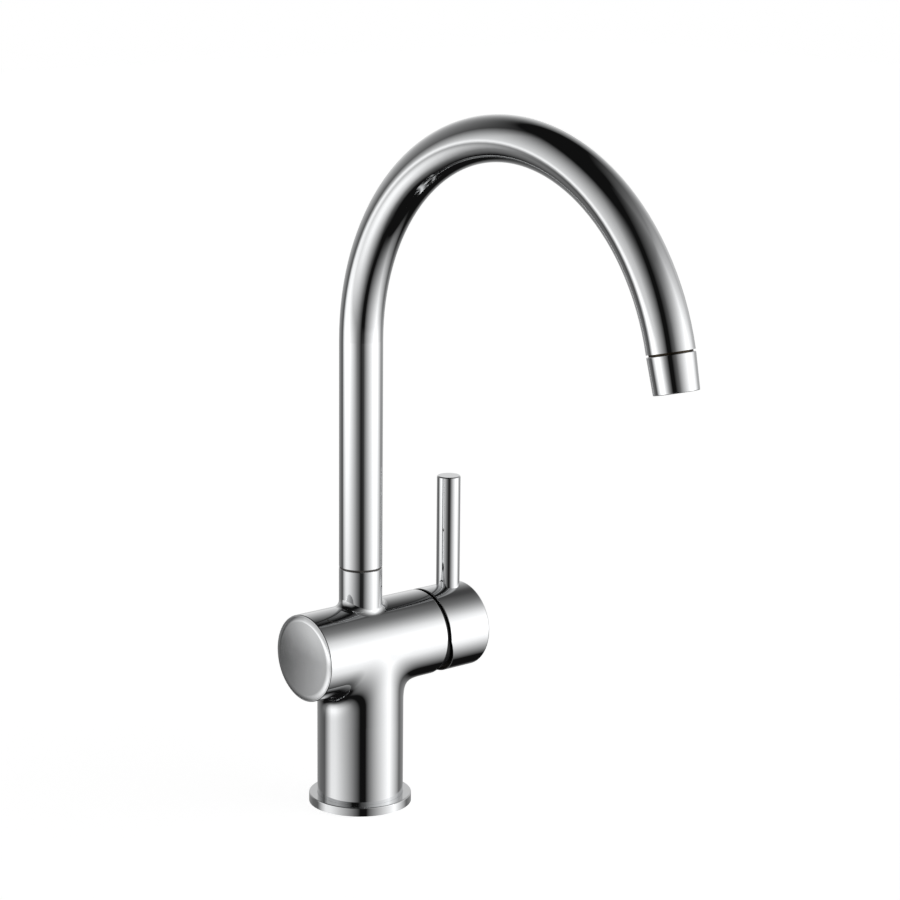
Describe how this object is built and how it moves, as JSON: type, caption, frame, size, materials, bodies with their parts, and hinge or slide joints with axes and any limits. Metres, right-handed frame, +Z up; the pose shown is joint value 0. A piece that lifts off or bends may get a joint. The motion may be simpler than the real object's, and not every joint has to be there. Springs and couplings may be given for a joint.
{
  "type": "kitchen tap",
  "caption": "Chromed kitchen tap with a high arched swivel spout, a side lever with an upright pin, and a separate inner waterway for filtered water.",
  "frame": {"origin": "on the worktop, on the axis of the column, at the level of the deck ring's underside", "axes": "+Z up along the column; the spout reaches towards -Y at rest; +X along the barrel towards the lever"},
  "size_m": [0.1058, 0.2555, 0.3605],
  "materials": {
    "chrome": "polished chrome plate on brass",
    "brass": "machined",
    "steel": "plain stainless",
    "black_plastic": "moulded, satin",
    "grey_plastic": "moulded",
    "white_plastic": "extruded",
    "ceramic": "lapped alumina",
    "rubber": "moulded"
  },
  "bodies": {
    "root": {"body": "chrome", "base_ring": "chrome", "base_gasket": "rubber", "end_plug": "chrome", "end_plug_oring": "rubber", "cartridge_base": "grey_plastic", "port_seals": "rubber", "cartridge_housing": "grey_plastic", "fixed_ceramic_disc": "ceramic", "cartridge_nut": "brass", "cartridge_cover": "black_plastic", "spout_glide_ring": "grey_plastic", "spout_stop_screw": "steel"},
    "carrier": {"cartridge_carrier": "grey_plastic", "stem_pivot_pin": "steel"},
    "lever": {"lever_stem": "brass", "handle_cap": "chrome", "lever_pin": "chrome", "handle_grub_screw": "steel"},
    "moving_disc": {"moving_ceramic_disc": "ceramic", "disc_driver": "grey_plastic"},
    "spout": {"spout_tube": "chrome", "spout_foot": "brass", "spout_orings": "rubber", "filtered_water_tube": "white_plastic", "outlet_bush": "brass", "outlet_sleeve": "chrome", "aerator_gasket": "rubber", "aerator_insert": "grey_plastic", "filtered_nozzle": "grey_plastic"}
  },
  "joints": [
    {"name": "spout_swivel", "type": "hinge", "parent": "root", "child": "spout", "pos_m": [0, 0, 0.1238], "axis": [0, 0, 1], "range_deg": [-60, 60]},
    {"name": "handle_turn", "type": "hinge", "parent": "root", "child": "carrier", "pos_m": [0.0405, 0, 0.0825], "axis": [1, 0, 0], "range_deg": [-45, 90]},
    {"name": "handle_tilt", "type": "hinge", "parent": "carrier", "child": "lever", "pos_m": [0.0405, 0, 0.0825], "axis": [0, 1, 0], "range_deg": [0, 12]},
    {"name": "disc_slide", "type": "slide", "parent": "carrier", "child": "moving_disc", "axis": [0, 0, 1], "range_m": [0, 0.003]}
  ],
  "couplings": [
    {"joint": "disc_slide", "follows": "handle_tilt", "m_per_rad": 0.01419}
  ]
}
